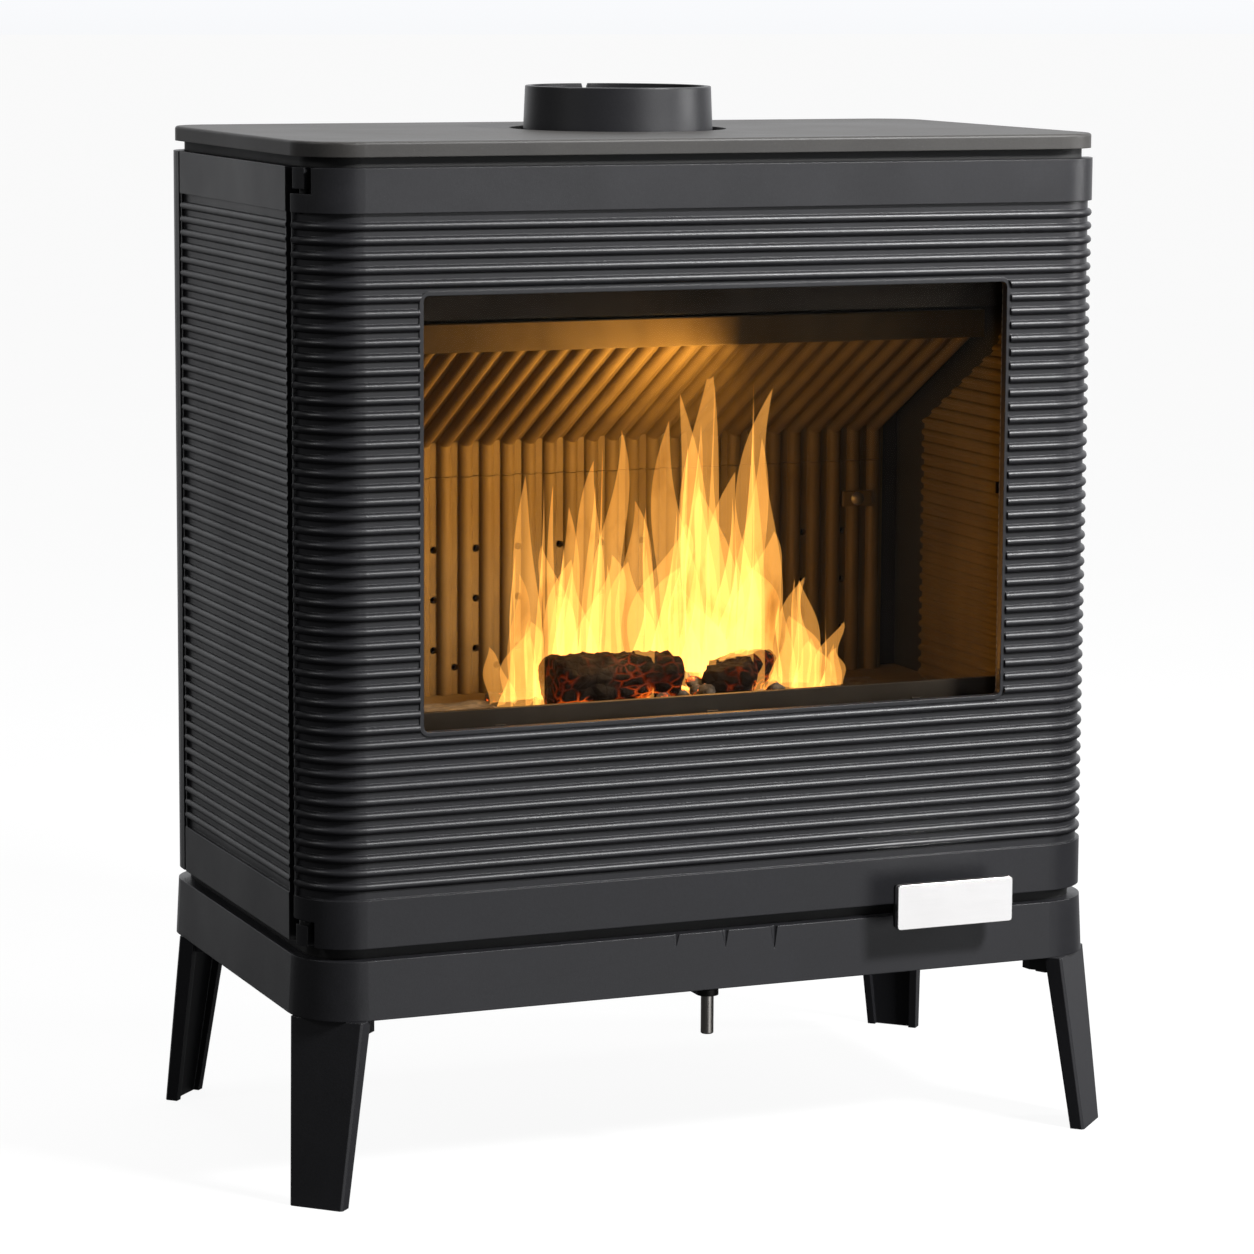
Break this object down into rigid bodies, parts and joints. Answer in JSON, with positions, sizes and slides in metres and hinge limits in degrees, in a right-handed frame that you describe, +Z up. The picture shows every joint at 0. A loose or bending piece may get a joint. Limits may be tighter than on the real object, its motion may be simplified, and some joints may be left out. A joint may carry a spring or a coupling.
{
  "type": "wood burning stove",
  "caption": "Free-standing ribbed cast-iron wood burning stove with a wide glazed door, a top flue collar and four splayed legs.",
  "frame": {"origin": "on the floor, below the middle of the box around the whole stove", "axes": "+Z up, -Y towards the door side, +X to the right when facing the door"},
  "size_m": [0.746, 0.4335, 0.9],
  "materials": {
    "body_paint": "matt heat-proof paint on sand-cast iron",
    "top_paint": "matt heat-proof paint, faintly warm where it is handled",
    "recess_paint": "black heat-proof paint in shadowed recesses",
    "fire_iron": "heat-browned cast iron",
    "sheet_steel": "dark sheet steel",
    "bright_steel": "turned steel",
    "brushed_plate": "fine brushed stainless steel",
    "dark_steel": "black painted steel",
    "fasteners": "dulled zinc-plated steel",
    "fibre_seal": "braided glass fibre",
    "stove_glass": "clear ceramic glass with a faint warm tint"
  },
  "bodies": {
    "stove_body": {"base_frame": "body_paint", "left_side_panel": "body_paint", "right_side_panel": "body_paint", "rear_panel": "body_paint", "lower_hinge_lug": "body_paint", "upper_hinge_lug": "body_paint", "flue_collar": "body_paint", "collar_flange": "body_paint", "front_left_leg": "body_paint", "front_right_leg": "body_paint", "rear_left_leg": "body_paint", "rear_right_leg": "body_paint", "top_plate": "top_paint", "bottom_plate": "recess_paint", "firebox_top": "recess_paint", "front_frame": "recess_paint", "firebox_left_wall": "recess_paint", "firebox_right_wall": "recess_paint", "firebox_back_wall": "recess_paint", "ash_chamber": "recess_paint", "latch_keeper": "recess_paint", "left_lining": "fire_iron", "right_lining": "fire_iron", "back_lining": "fire_iron", "baffle": "fire_iron", "lining_clips": "fire_iron", "firebox_floor": "fire_iron", "fire_grate": "fire_iron", "air_box": "sheet_steel", "air_guides": "sheet_steel", "airwash_plate": "sheet_steel", "panel_spacers": "sheet_steel", "log_guard": "sheet_steel", "tie_rods": "bright_steel", "hinge_pins": "dark_steel", "hinge_washer": "dark_steel", "leg_bolts": "fasteners", "panel_screws": "fasteners", "collar_bolts": "fasteners", "lining_clip_screws": "fasteners", "collar_seal": "fibre_seal"},
    "door": {"door_frame": "body_paint", "glass_gasket": "fibre_seal", "door_glass": "stove_glass", "glass_clips": "dark_steel", "glass_screws": "fasteners", "door_rope": "fibre_seal", "latch_spring": "bright_steel"},
    "handle": {"handle_plate": "brushed_plate", "handle_carrier": "dark_steel", "latch_lever": "dark_steel", "latch_pivot": "bright_steel"},
    "air_control": {"air_shutter": "sheet_steel", "air_pin": "bright_steel"},
    "ash_drawer": {"ash_pan": "sheet_steel", "ash_pan_handle": "sheet_steel"}
  },
  "joints": [
    {"name": "door_hinge", "type": "hinge", "parent": "stove_body", "child": "door", "pos_m": [-0.35074, -0.1515, 0.52], "axis": [0, 0, -1], "range_deg": [0, 110]},
    {"name": "handle_turn", "type": "hinge", "parent": "door", "child": "handle", "pos_m": [0.2065, -0.17049, 0.205], "axis": [0, 0, -1], "range_deg": [0, 12], "stiffness_Nm_per_rad": 1.5},
    {"name": "air_slide", "type": "slide", "parent": "stove_body", "child": "air_control", "axis": [1, 0, 0], "range_m": [-0.045, 0.045]},
    {"name": "ash_slide", "type": "slide", "parent": "stove_body", "child": "ash_drawer", "axis": [0, -1, 0], "range_m": [0, 0.2]}
  ],
  "couplings": [
    {"joint": "ash_slide", "follows": "door_hinge", "m_per_rad": 0.1}
  ]
}
